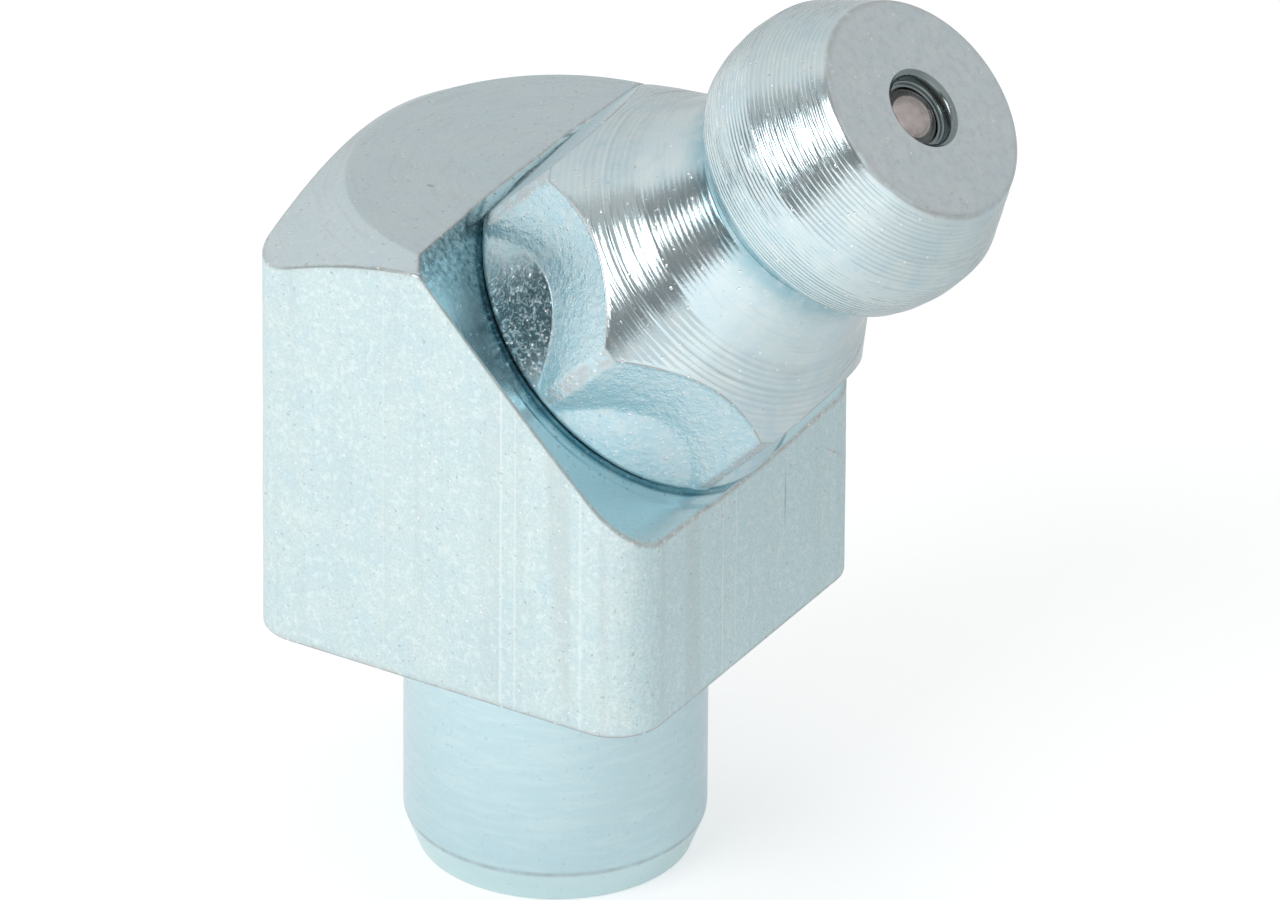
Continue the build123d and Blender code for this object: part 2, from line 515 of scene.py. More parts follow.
probe_count = 1600
probes_per_reach = 1000.0
steps = np.linspace(0.0, 1.6, probe_count + 1)[:, None]
probe_x = hole_middle[0] + heading[:, 0] * reach * steps
probe_y = hole_middle[1] + heading[:, 1] * reach * steps
crossed = seat_height(probe_x, probe_y) >= crown_height(probe_x, probe_y)
first_crossing = np.where(crossed.any(axis=0), crossed.argmax(axis=0), probe_count)
crease = first_crossing / probes_per_reach * reach
inside_circle = np.hypot(probe_x, probe_y) < crown_radius
last_inside = probe_count - inside_circle[::-1].argmax(axis=0)
circle = last_inside / probes_per_reach * reach

beyond = crease - reach
room = reach * (0.02 + 0.30 * smooth_rise(beyond / 1.2))
kept_back = np.where(beyond > -0.3, room * smooth_rise((beyond + 0.3) / 0.5), 0.0)
crease_row = np.minimum(crease, reach - 0.05 - kept_back)
gap = reach - crease_row
past = crease_row - circle
circle_row = np.where(
    past < 0,
    np.minimum(circle, reach - 0.03),
    crease_row + 0.03 + 0.35 * gap * smooth_rise(past / 0.8),
)
circle_row = np.clip(circle_row, crease_row + 0.02, reach - 0.02)
print("columns whose seat meets the crown before the wall:", int((beyond < 0).sum()))

# %% Rows over the seat and the crown
def rows_between(start, end, count):
    """Evenly spaced values or points, one row each. The end itself is left to the next rows."""
    share = np.linspace(0.0, 1.0, count, endpoint=False)
    share = share.reshape(-1, *[1] * max(1, np.ndim(start)))
    return start + (end - start) * share


columns = len(outline)
tilt_angle = np.arctan2(heading[:, 1], heading[:, 0] / np.cos(lean))
plan_per_radius = np.hypot(np.cos(lean) * np.cos(tilt_angle), np.sin(tilt_angle))
hole_radius = 1.95
edge_roll = 0.04
hole_q = hole_radius * plan_per_radius
under_collar = np.minimum(3.60 * plan_per_radius, crease_row - 0.15)
crease_side = np.minimum(0.06, 0.35 * (circle_row - crease_row))
inset = edge_roll / np.sum(heading * outline_normals, axis=1)
offsets = np.array([-1.0, -0.65, -0.4, -0.2, 0.0, 0.2, 0.4, 0.65])[:, None]
circle_side = np.minimum(0.05, 0.3 * np.minimum(circle_row - crease_row, reach - circle_row))
q_rows = np.concatenate(
    [
        rows_between(hole_q, under_collar, 5),
        rows_between(under_collar, crease_row - crease_side, 52),
        crease_row + crease_side * offsets,
        rows_between(crease_row + crease_side, circle_row - circle_side, 30),
        circle_row + circle_side * np.array([-1.0, -0.5, 0.0, 0.5])[:, None],
        rows_between(circle_row + circle_side, reach - inset, 24),
    ]
)
crease_weight = hump(q_rows - crease_row, 0.035) * (beyond < 0.0)
plan = hole_middle[None, None] + heading[None] * q_rows[..., None]
top_rows = np.dstack([plan, top_height(plan[..., 0], plan[..., 1])])
on_seat = seat_height(plan[..., 0], plan[..., 1]) < crown_height(plan[..., 0], plan[..., 1])
print("rows over the top", top_rows.shape)

# %% [markdown]
# The bar's upper edge and the edge of its shoulder are rounded by short quadratic curves. Below
# the shoulder each column follows the profile of the turned shank.

# %% Rows down the wall and the shank
def ring(radius, height, angle):
    """A circle about the shank's axis: (r cos a, r sin a, z)."""
    radius, height, angle = np.broadcast_arrays(radius, height, angle)
    return np.stack([radius * np.cos(angle), radius * np.sin(angle), height], axis=-1)


def curve_between(first, corner, last, count):
    """A quadratic curve without its last point: (1-t)^2 a + 2t(1-t) b + t^2 c."""
    t = np.linspace(0.0, 1.0, count)[:-1, None, None]
    return (1 - t) ** 2 * first + 2 * t * (1 - t) * corner + t**2 * last


foot_radius = 0.05
shank_start = 3.06
wall_row_count = 84
shank_angle = np.arctan2(outline[:, 1], outline[:, 0])
edge_z = top_height(outline[:, 0], outline[:, 1])
inset_plan = outline - heading * inset[:, None]
roll_first = np.column_stack([inset_plan, top_height(inset_plan[:, 0], inset_plan[:, 1])])
roll_corner = np.column_stack([outline, edge_z])
roll_last = np.column_stack([outline, edge_z - edge_roll])
top_roll = curve_between(roll_first, roll_corner, roll_last, 5)

wall_z = rows_between(edge_z - edge_roll, foot_radius, wall_row_count)
wall_rows = np.dstack([np.broadcast_to(outline, (wall_row_count, columns, 2)), wall_z])

foot_first = np.column_stack([outline, np.full(columns, foot_radius)])
foot_corner = np.column_stack([outline, np.zeros(columns)])
foot_last = np.column_stack([outline - foot_radius * outline_normals, np.zeros(columns)])
foot_roll = curve_between(foot_first, foot_corner, foot_last, 4)
shoulder = rows_between(foot_last, ring(shank_start, 0.0, shank_angle), 12)

shank_profile = np.array(
    [(shank_start, 0.0), (3.015, -0.02), (3.0, -0.06)]
    + [(3.0, z) for z in np.linspace(-0.2, -4.69, 26)]
    + [(2.993, -4.74), (2.975, -4.80)]
    + [(2.975 - 0.235 * f, -4.80 - 0.62 * f) for f in np.linspace(0.2, 0.95, 5)]
    + [(2.735, -5.43), (2.70, -5.455), (2.65, -5.46)]
    + [(r, -5.46) for r in np.linspace(2.45, 1.38, 6)]
    + [(1.35, -5.455), (1.225, -5.335), (1.105, -5.215)]
)
shank_rows = ring(shank_profile[:, :1], shank_profile[:, 1:], shank_angle[None])
print("rows of the wall", len(wall_rows), "and of the shank", len(shank_rows))

# %% [markdown]
# Inside, the passage up the shank meets the cone that the drill left at the end of the nipple's
# hole. A ray down the cone, tip + t * ray, lies on the passage's wall where x^2 + y^2 = r^2, so t
# comes from a t^2 + 2 b t + c = 0.

# %% Rows back up through the grease passage
hole_depth = 2.15
drill_half_angle = np.radians(59.0)
bore_radius = 1.1
bore_mouth = -5.19
cone_tip = -(hole_depth + hole_radius / np.tan(drill_half_angle))
tip = leaning(0.0, 0.0, cone_tip)
further = cone_tip + np.cos(drill_half_angle)
ray = leaning_ring(np.sin(drill_half_angle), tilt_angle, further) - tip
a = ray[:, 0] ** 2 + ray[:, 1] ** 2
b = ray[:, 0] * tip[0] + ray[:, 1] * tip[1]
c = tip[0] ** 2 + tip[1] ** 2 - bore_radius**2
meeting = tip + ray * ((-b + np.sqrt(b * b - a * c)) / a)[:, None]
meeting_angle = np.arctan2(meeting[:, 1], meeting[:, 0])
turned_by = (meeting_angle - shank_angle + np.pi) % (2 * np.pi) - np.pi
share = np.linspace(0.0, 1.0, 12, endpoint=False)[:, None]
bore_z = rows_between(bore_mouth, meeting[:, 2], 12)
bore_rows = ring(bore_radius, bore_z, shank_angle + turned_by * share)
hole_bottom = leaning_ring(hole_radius, tilt_angle, -hole_depth)
cone_rows = rows_between(meeting, hole_bottom, 4)
hole_rows = leaning_ring(hole_radius, tilt_angle, rows_between(-hole_depth, 0.0, 5))

parts = [top_rows, top_roll, wall_rows, foot_roll, shoulder, shank_rows, bore_rows, cone_rows, hole_rows]
counts = [len(part) for part in parts]
body_points = np.concatenate(parts)
labels = np.repeat(np.arange(len(parts)), counts)[:, None] * np.ones((1, columns))
print("body rows", counts, "in all", len(body_points), "x", columns)

# %% [markdown]
# Each point keeps some numbers for the finish: masks for the wall, the seat, the top, the shank
# and the worn edges, and how far round and how far along a tool's path it lies.

# %% Numbers kept for the body's finish
top_label, wall_label, shoulder_label, shank_label, bore_label = 0, 2, 4, 5, 6
on_wall = (labels == wall_label).astype(float)
on_shank = ((labels == shank_label) | (labels == shoulder_label)).astype(float)
seat_mask = np.zeros((len(body_points), columns))
seat_mask[: counts[0]] = on_seat
on_top = (labels == top_label) - seat_mask
edge = np.zeros_like(seat_mask)
edge[: counts[0]] = crease_weight
roll_weight = np.array([0.55, 1.0, 1.0, 0.6])[:, None]
edge[counts[0] : counts[0] + 4] = np.maximum(roll_weight, edge[counts[0] - 1])
edge[counts[0] + 4] = 0.3
first_foot = counts[0] + counts[1] + counts[2]
edge[first_foot : first_foot + 3] = np.array([0.6, 1.0, 0.7])[:, None]
from_seat = body_points - seat_centre
seat_x, seat_y = from_seat @ across_axis, from_seat[..., 1]
seat_radius = np.maximum(np.hypot(seat_x, seat_y), 1e-6)
body_x, body_y, body_z = np.moveaxis(body_points, -1, 0)
axis_radius = np.maximum(np.hypot(body_x, body_y), 1e-6)
across_top = np.where(seat_mask > 0.5, seat_radius, 20.0 + axis_radius)
body_marks = {
    "edge": edge,
    "wall": on_wall,
    "seat": seat_mask,
    "top": on_top,
    "shank": on_shank,
    "inside": labels >= bore_label,
    "travel": np.where(on_shank > 0.5, body_z - axis_radius, across_top),
    "swing_x": np.where(seat_mask > 0.5, seat_x / seat_radius, body_x / axis_radius),
    "swing_y": np.where(seat_mask > 0.5, seat_y / seat_radius, body_y / axis_radius),
}
print("wall points", int(on_wall.sum()), "and seat points", int(seat_mask.sum()))

# %% [markdown]
# A drawn bar is never quite flat. A sum of long, shallow waves moves each point by a few
# thousandths of a millimetre, which is enough to bend the reflections in its sides.

# %% Slight waves on the drawn sides
def waves(points, size, count, seed):
    """The mean of `count` sine waves of about one size, in random directions."""
    rng = np.random.default_rng(seed)
    directions = rng.normal(size=(count, 3))
    directions /= np.linalg.norm(directions, axis=1, keepdims=True)
    lengths = size * rng.uniform(0.7, 1.4, count)
    starts = rng.uniform(0.0, 2 * np.pi, count)
    phase = points @ (directions / lengths[:, None]).T * 2 * np.pi + starts
    return np.sin(phase).mean(axis=-1) * np.sqrt(2.0 * count)


body_faces = ring_faces(len(body_points), columns)
body_normals = grid_normals(body_points)
lift = 0.0035 * waves(body_points, 2.6, 9, 3) + 0.0012 * waves(body_points, 0.8, 14, 4)
lift = lift * (on_wall + 0.3 * on_top + 0.25 * seat_mask)
if signed_volume(body_points.reshape(-1, 3), body_faces) < 0:
    body_normals = -body_normals
body_points = body_points + body_normals * lift[..., None]
body_skin = make_skin("body_skin", body_points, body_faces, body_marks)
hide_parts("angle_body")
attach(body_skin, "fitting")

# %% [markdown]
# ## The nipple
#
# A lathe turns the nipple from one bar: a collar, a blank for the hexagon, a flare, a neck for the
# coupler's jaws, and the head. Then six flats are made on the blank. They run down into a shallow
# cone round the foot, so the collar stays round and each flat ends below in a curved line. One
# flat runs straight down to the seat. As a grid, each row is a ring about the nipple's axis, and
# each column runs from the seat up the outside, over the head, down the bore and back up outside
# the spigot.

# %% Columns and the turned outline of the nipple
sector = 54
place = np.linspace(-1.0, 1.0, sector, endpoint=False)
from_flat = np.radians(30.0) * (1.35 * place - 0.35 * place**3)
flat_angles = np.radians(60.0 * np.arange(6) + 3.25)
nipple_angle = (flat_angles[:, None] + from_flat[None]).ravel()
from_flat = np.tile(from_flat, 6)

collar = 3.86
collar_chamfer = 0.15
blank_top = 2.26
flare_foot = (2.87, 3.7557)
neck_foot = (2.35, 5.235)
neck_top = (2.35, 5.335)
belly_back = (2.97, 6.0)
belly_front = (3.085, 7.5)
flat_distance = 3.425
root_slope = np.tan(np.radians(17.4))
root_top = np.repeat([1.38, 1.38, 1.38, 0.20, 1.38, 1.38], sector)
print("nipple columns", len(nipple_angle))


def turned_radius(s):
    """Radius of the turned outside at height s: straight cones joined end to end."""
    knots = [(3.71, 0.0), (collar, collar_chamfer), (collar, blank_top), flare_foot, neck_foot]
    radii, heights = zip(*knots)
    return np.interp(s, heights, radii)


def hexagon_radius(s, angle):
    """The flat's distance / cos(angle), never inside the root cone or outside the blank."""
    cone = flat_distance + (root_top - s) * root_slope
    flat = flat_distance / np.cos(angle)
    hexagon = -soft_least(0.018, -flat, -cone)
    return soft_least(0.006, turned_radius(s), hexagon)


def last_height(holds_at, low, high):
    """The height where a condition stops holding in each column, by halving the interval."""
    for _ in range(30):
        middle = (low + high) / 2
        holds = holds_at(middle)
        low = np.where(holds, middle, low)
        high = np.where(holds, high, middle)
    return (low + high) / 2


# %% [markdown]
# Rows are packed where the surface turns: at the foot of each flat and at its top edge. Both
# heights differ from column to column. The foot follows from the cone's slope. The top edge is
# where the turned radius falls to the flat's, and halving an interval thirty times finds it in
# every column at once. A burr a hundredth of a millimetre high stands along it.

# %% Rows of the nipple's outside
turn_columns = len(nipple_angle)
cosine = np.cos(from_flat)
flat_radius = flat_distance / cosine
root_low = root_top - (flat_radius - flat_distance) / root_slope
root_low = np.maximum(root_low, collar_chamfer + 0.10)
flat_top = last_height(lambda s: turned_radius(s) > flat_radius, blank_top, 3.2)
near = np.array([-1.0, -0.6, -0.3, -0.1, 0.1, 0.3, 0.6])[:, None]
chamfer_top = np.full(turn_columns, collar_chamfer + 0.02)
s_rows = np.concatenate(
    [
        rows_between(0.03, chamfer_top, 4),
        rows_between(chamfer_top, root_low - 0.05, 14),
        root_low + 0.05 * near,
        rows_between(root_low + 0.05, flat_top - 0.05, 26),
        flat_top + 0.05 * near,
        rows_between(flat_top + 0.05, neck_foot[1] - 0.04, 67),
    ]
)
outside_radius = hexagon_radius(s_rows, from_flat[None])
burr_height = 0.012
burr_ridge = hump(s_rows - flat_top + 0.012, 0.016)
off_corners = hump(from_flat, np.radians(26.0), 6)
outside_radius = outside_radius + burr_height * (burr_ridge * off_corners)
flat_edge = hump(s_rows - flat_top, 0.03)
ridge = hump((np.abs(from_flat) - np.radians(29.0)) * collar, 0.12)
below_top = (s_rows > 0.25) & (s_rows < flat_top)
print("hexagon rows", s_rows.shape)

# %% [markdown]
# Above the neck every column is the same, so one outline serves: the back of the head, its
# rounded belly, the long front cone, the face, and then the mouth, the throat, the ball's seat,
# the spring's chamber, the lip under it and the spigot.

# %% Outline above the neck and down the bore
def arc_through(first, middle, last, count):
    """Points of the circle through three points, from its centre's two equations."""
    (x1, y1), (x2, y2), (x3, y3) = first, middle, last
    lines = np.array([[x2 - x1, y2 - y1], [x3 - x1, y3 - y1]]) * 2.0
    sides = [x2**2 + y2**2 - x1**2 - y1**2, x3**2 + y3**2 - x1**2 - y1**2]
    centre = np.linalg.solve(lines, sides)
    radius = np.hypot(x1 - centre[0], y1 - centre[1])
    start, end = (np.arctan2(y - centre[1], x - centre[0]) for x, y in (first, last))
    angle = np.linspace(start, end, count, endpoint=False)
    return centre + radius * np.column_stack([np.cos(angle), np.sin(angle)])


def straight(first, last, count):
    """Evenly spaced points of a straight line, without its last point."""
    return rows_between(np.array(first), np.array(last), count)


head_top = 9.05
head_profile = np.vstack(
    [
        straight((2.366, 5.195), neck_foot, 2),
        straight(neck_foot, neck_top, 4),
        straight(neck_top, belly_back, 22),
        arc_through(belly_back, (3.125, 6.85), belly_front, 34),
        straight(belly_front, (2.364, 8.925), 32),
        arc_through((2.364, 8.925), (2.31, 9.01), (2.20, head_top), 7),
        straight((2.20, head_top), (0.86, head_top), 22),
        straight((0.86, head_top), (0.83, head_top - 0.002), 2),
        straight((0.83, head_top - 0.01), (0.735, head_top - 0.08), 4),
        straight((0.73, head_top - 0.10), (0.73, head_top - 0.30), 5),
        straight((0.725, head_top - 0.315), (0.61, head_top - 0.32), 3),
        straight((0.60, head_top - 0.325), (1.0, 8.04), 5),
        straight((1.0, 8.04), (1.0, -1.53), 12),
        straight((1.0, -1.55), (0.57, -1.55), 4),
        straight((0.55, -1.57), (0.55, -1.88), 3),
        straight((0.57, -1.90), (1.74, -1.90), 4),
        straight((1.76, -1.90), (1.94, -1.72), 3),
        straight((1.96, -1.70), (1.96, -0.02), 5),
        straight((1.98, 0.0), (3.66, 0.0), 6),
        straight((3.69, 0.0), (3.73, 0.02), 2),
    ]
)
profile_s = np.vstack([s_rows, np.repeat(head_profile[:, 1:], turn_columns, axis=1)])
profile_r = np.vstack([outside_radius, np.repeat(head_profile[:, :1], turn_columns, axis=1)])
under_rows = 8
under_start = 1.98
shrink = np.minimum((outside_radius[0] - 2.0) / 1.75, 1.0)
profile_r[-under_rows:] = under_start + (profile_r[-under_rows:] - under_start) * shrink
print("outline rows above the neck", len(head_profile))

# %% [markdown]
# The lathe's tool leaves grooves. Most are too fine for the grid and are left to the finish, but
# a few deeper ones just above the hexagon, and the wider marks on the head, are real hollows.

# %% Turning grooves in the grid
def grooves(s, pitch, depth, seed):
    """A sum of three sines of nearly the same pitch, so that the grooves come and go."""
    rng = np.random.default_rng(seed)
    total = np.zeros_like(s)
    for share in (0.87, 1.0, 1.19):
        total += np.sin(2 * np.pi * s / (pitch * share) + rng.uniform(0, 6.28))
    return depth * total / 3


def between(s, low, high, soft=0.08):
    """1 from low to high, falling smoothly to 0 outside."""
    return smooth_rise((s - low) / soft) * (1 - smooth_rise((s - high) / soft))


outside_rows = len(s_rows)
rim_row = outside_rows + 93
face_row = rim_row + 5
mouth_row = rim_row + 32
row_count = len(profile_s)


def on_outside(values):
    """The given values on the rows of the hexagon and flare, and 0 on all rows after them."""
    mask = np.zeros_like(profile_s)
    mask[:outside_rows] = values
    return mask


off_axis = 0.012 * np.cos(nipple_angle * 2 + 0.6)[None]
wander = profile_s + off_axis
turned_only = on_outside(smooth_rise((s_rows - flat_top - 0.02) / 0.06))
turned_only[outside_rows:rim_row] = 1.0
cut = grooves(wander, 0.118, 0.0012, 11) * between(profile_s, 2.9, 9.0, 0.2)
cut += grooves(wander, 0.125, 0.0022, 13) * between(profile_s, 2.8, 3.9, 0.5)
cut += grooves(wander, 0.52, 0.0050, 12) * between(profile_s, 6.1, 8.8, 0.3)
for height, depth in ((3.11, 0.014), (3.28, 0.012), (3.47, 0.008), (3.64, 0.006), (6.12, 0.006)):
    cut -= depth * hump(wander - height, 0.035)
profile_r = profile_r + cut * turned_only

nipple_points = leaning_ring(profile_r, nipple_angle, profile_s)
print("nipple rows", row_count, "x", turn_columns)

# %% [markdown]
# The nipple's finish needs masks too: the flats, their feet, the ridges between them, the burr,
# the face, the bore, and the places painted with shade.

# %% Numbers kept for the nipple's finish
swing = np.degrees(np.arctan2(np.sin(nipple_angle), np.cos(nipple_angle)))
from_back = np.degrees(np.abs(nipple_angle - np.radians(180.0)))
front_left = hump(swing + 114.0, 24.0, 4)
in_foot = hump(swing + 110.0, 19.0, 4)
low_down = 1 - smooth_rise((s_rows - 0.26) / 0.26)
overhang = on_outside(low_down * (1 - smooth_rise((from_back - 30.0) / 10.0)))
head_rim = np.hypot(profile_r - 2.31, profile_s - 9.01)
root_mask = on_outside(1.0 - smooth_rise((s_rows - root_low) / 0.05 + 0.5))
bore_mask = np.zeros_like(profile_s)
bore_mask[mouth_row:] = 1.0
travel = profile_s.copy()
travel[face_row:] = head_top + 2.31 - profile_r[face_row:]
nipple_marks = {
    "edge": on_outside(flat_edge * (1 - front_left)),
    "hexagon": on_outside(1.0 - smooth_rise((s_rows - flat_top) / 0.03 + 0.5)),
    "root": root_mask,
    # painted shade: the foot of one flat, for a dark reflection, and a strip under the overhang, for its
    # shadow
    "stain": np.maximum(root_mask * in_foot, overhang),
    "ridge": on_outside(ridge[None] * below_top) + hump(head_rim, 0.07),
    # where the burr on the front-left flats carries a painted highlight
    "burr": on_outside(flat_edge * front_left),
    "face": profile_s > 9.03,
    "turned": turned_only,
    "inside": bore_mask,
    "travel": travel,
    "swing_x": np.cos(nipple_angle)[None] * np.ones_like(profile_s),
    "swing_y": np.sin(nipple_angle)[None] * np.ones_like(profile_s),
}
nipple_faces = ring_faces(row_count, turn_columns)
nipple_skin = make_skin("nipple_skin", nipple_points, nipple_faces, nipple_marks)
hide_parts("nipple")
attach(nipple_skin, "fitting")

# %% [markdown]
# ## The check ball
#
# A hardened ball is ground almost perfectly round. Its grid runs from pole to pole along the
# nipple's axis, and a faint ring shows where it beats against its seat.

# %% The ball
ball_centre_s = 8.149
ball_radius = 0.80
polar = np.linspace(0.0, np.pi, 66)[1:-1, None]
around = np.linspace(0.0, 2 * np.pi, 128, endpoint=False)[None]
seat_ring = 0.004 * hump(polar - np.radians(52.0), 0.04)
ball_r = ball_radius - seat_ring
ball_height = ball_centre_s + ball_r * np.cos(polar)
ball_grid = leaning_ring(ball_r * np.sin(polar), around, ball_height)
poles = leaning(0.0, 0.0, ball_centre_s + ball_radius * np.array([1.0, -1.0]))
ball_rows, ball_columns = ball_grid.shape[:2]
ball_points = np.vstack([ball_grid.reshape(-1, 3), poles])
ball_skin = make_skin("ball_skin", ball_points, capped_faces(ball_rows, ball_columns))
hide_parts("check_ball")
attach(ball_skin, "ball")

# %% [markdown]
# ## The spring
#
# The spring is wound from round wire and ground flat at both ends, so it is a circle carried along
# a helix, with the heights held between the two flat ends. It stands on the nipple's lower lip
# and pushes the ball up.

# %% The coil spring
coil_radius, wire_radius, spring_turns = 0.60, 0.12, 10
spring_foot, spring_length = -1.55, 9.042
wound = np.linspace(0.0, 2 * np.pi * spring_turns, 401)[:, None]
round_wire = np.linspace(0.0, 2 * np.pi, 12, endpoint=False)[None]
wire_slope = spring_length / (2 * np.pi * spring_turns * coil_radius)
leaned = wire_radius * np.sin(round_wire) / np.hypot(1.0, wire_slope)
from_middle = coil_radius + wire_radius * np.cos(round_wire)
spring_grid = leaning(
    from_middle * np.cos(wound) + leaned * wire_slope * np.sin(wound),
    from_middle * np.sin(wound) - leaned * wire_slope * np.cos(wound),
    spring_foot + np.clip(spring_length * wound / wound[-1] + leaned, 0.0, spring_length),
)
wire_ends = leaning(coil_radius, 0.0, spring_foot + np.array([0.0, spring_length]))
spring_points = np.vstack([spring_grid.reshape(-1, 3), wire_ends])
spring_skin = make_skin("spring_skin", spring_points, capped_faces(401, 12))
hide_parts("ball_spring")
spring_start = leaning(0.0, 0.0, spring_foot) * 0.001
spring_end = leaning(0.0, 0.0, spring_foot + spring_length) * 0.001
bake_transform(spring_skin)

# %% [markdown]
# ## Zinc
#
# Bright zinc is a thin blue-white skin over the steel, and it shows every mark that the tools
# left. Three things are mixed here: long streaks where the bar was drawn, rings where a tool went
# round, and the zinc's own grain of tiny nodules and darker specks. The nodules are raised bumps,
# and their colour is a painted highlight near white. The marks come from noise whose coordinates
# are squeezed in one direction, so that a round blot becomes a line. A coat is a colour laid over
# the last one through a mask, so each finish reads as a list of coats.

# %% Marks, coats and the metal under them
def attributes(shader, names):
    """The numbers stored at the points of the skin under these names."""
    for name in names.split():
        yield shader.node("Attribute", None, "Fac", attribute_name=name)


def ring_noise(shader, arc, pitch, detail=3.0):
    """Noise drawn out into rings: slow round the axis, fast along the profile (pitch in mm)."""
    swing_x, swing_y, travel = attributes(shader, "swing_x swing_y travel")
    inputs = {0: swing_x * arc, 1: swing_y * arc, 2: travel * (1.0 / pitch)}
    return shader.noise(shader.node("CombineXYZ", inputs), 1.0, detail)


def nodules(shader, place, size, share):
    """Small round bumps in a few cells of a cell pattern: (1 - distance / radius), chosen cells."""
    inputs = {"Vector": place, "Scale": 1.0 / size}
    distance, cell_colour = shader.node("TexVoronoi", inputs, ("Distance", "Color"))
    luck = shader.node("SeparateColor", {0: cell_colour})
    return distance.step(0.42, 0.12) * luck.step(1.0 - share, 1.0 - share + 0.02)


def coats(shader, base, *layers):
    """Lay colours over a base one after another. Each layer is (how much, colour)."""
    for amount, colour in layers:
        base = shader.mix_colours(amount, base, colour)
    return base


def finish_metal(shader, colour, rough, height, depth):
    """Metal whose bump stands `depth` metres proud where the height is 1."""
    relief = {"Strength": 1.0, "Distance": depth, "Height": height}
    bump = shader.node("Bump", relief)
    look = {"Base Color": colour, "Metallic": 1.0, "Roughness": rough, "Normal": bump}
    shader.end_with(shader.node("BsdfPrincipled", look))


zinc_depth = 0.0000045
glint_white = (0.98, 0.99, 0.99)

# %% [markdown]
# The walls of the body have drawing lines from top to bottom, a few of them deep enough to catch
# the light, and these carry a painted highlight along them. The right-hand wall has two scratches
# and the top a small dent. One corner of the seat has painted shade, standing for the dark
# reflection of the nipple's collar there. A dull line goes round the shank where its lead-in
# starts. Edges are rubbed down to a browner tone.

# %% Marks on the square body
body_metal = bpy.data.materials.new("zinc_on_bar")
zinc = Shader(body_metal)
place = zinc.node("TexCoord", None, "Object")
x, y, z = (axis * 1000.0 for axis in zinc.node("SeparateXYZ", {0: place}, (0, 1, 2)))
wall, seat, top, shank = attributes(zinc, "wall seat top shank")
edge_wear, travel, bore_shade = attributes(zinc, "edge travel inside")
swing_x, swing_y = attributes(zinc, "swing_x swing_y")

along_bar = zinc.vector("MULTIPLY", place, (1.0, 1.0, 0.035))
streaks = zinc.noise(along_bar, 0.00022, 4.0, 0.65)
fine_streaks = zinc.noise(along_bar, 0.00006, 2.0, 0.5)
bands = zinc.noise(along_bar, 0.0009, 2.0, 0.4)
clouds = zinc.noise(place, 0.0008)
mottle = zinc.noise(place, 0.00028)
grain = zinc.noise(place, 0.00006)
peel = zinc.noise(place, 0.00013)
specks = zinc.noise(place, 0.00011).step(0.635, 0.70)
rings = ring_noise(zinc, 3.0, 0.16)
bright_dots = nodules(zinc, place, 0.00008, 0.045) * (1 - shank)

face_a = wall * y.step(-4.1, -4.4)
face_b = wall * x.step(4.1, 4.4)
lines = face_a * (x.bell(1.48, 0.045) + 0.8 * x.bell(1.80, 0.035) + 0.4 * x.bell(-1.2, 0.03))
lines = lines + face_a * 0.7 * x.bell(3.28, 0.06)
lines = lines + face_b * (y.bell(-1.18, 0.04) + 0.7 * y.bell(-0.69, 0.04))
scratch = face_b * y.bell(1.18, 0.035) * z.bell(2.85, 0.85)
diagonal = face_b * (z + 0.75 * y).bell(5.28, 0.05) * y.bell(3.03, 0.55)
near_corner = (x - y).step(5.0, 8.2)
dent = top * x.bell(-1.90, 0.13) * y.bell(-1.64, 0.07)
left_end = swing_x * -0.74 + swing_y * -0.67
# the seat's left corner, where painted shade stands for the collar's dark reflection
corner = seat * left_end.step(0.93, 0.995)
banded = wall * bands.step(0.50, 0.60) * (0.10 + 0.35 * near_corner)
worn = edge_wear * mottle.step(0.25, 0.6)
# glints along the edges and along the seat's edge on face A; their colour below is a painted highlight
seat_edge = (x + z).bell(8.38, 0.26) * face_a
glints = nodules(zinc, place, 0.00013, 0.45) * (edge_wear + seat_edge * 0.6).clipped()
print("marks on the body:", len(zinc.tree.nodes), "nodes")

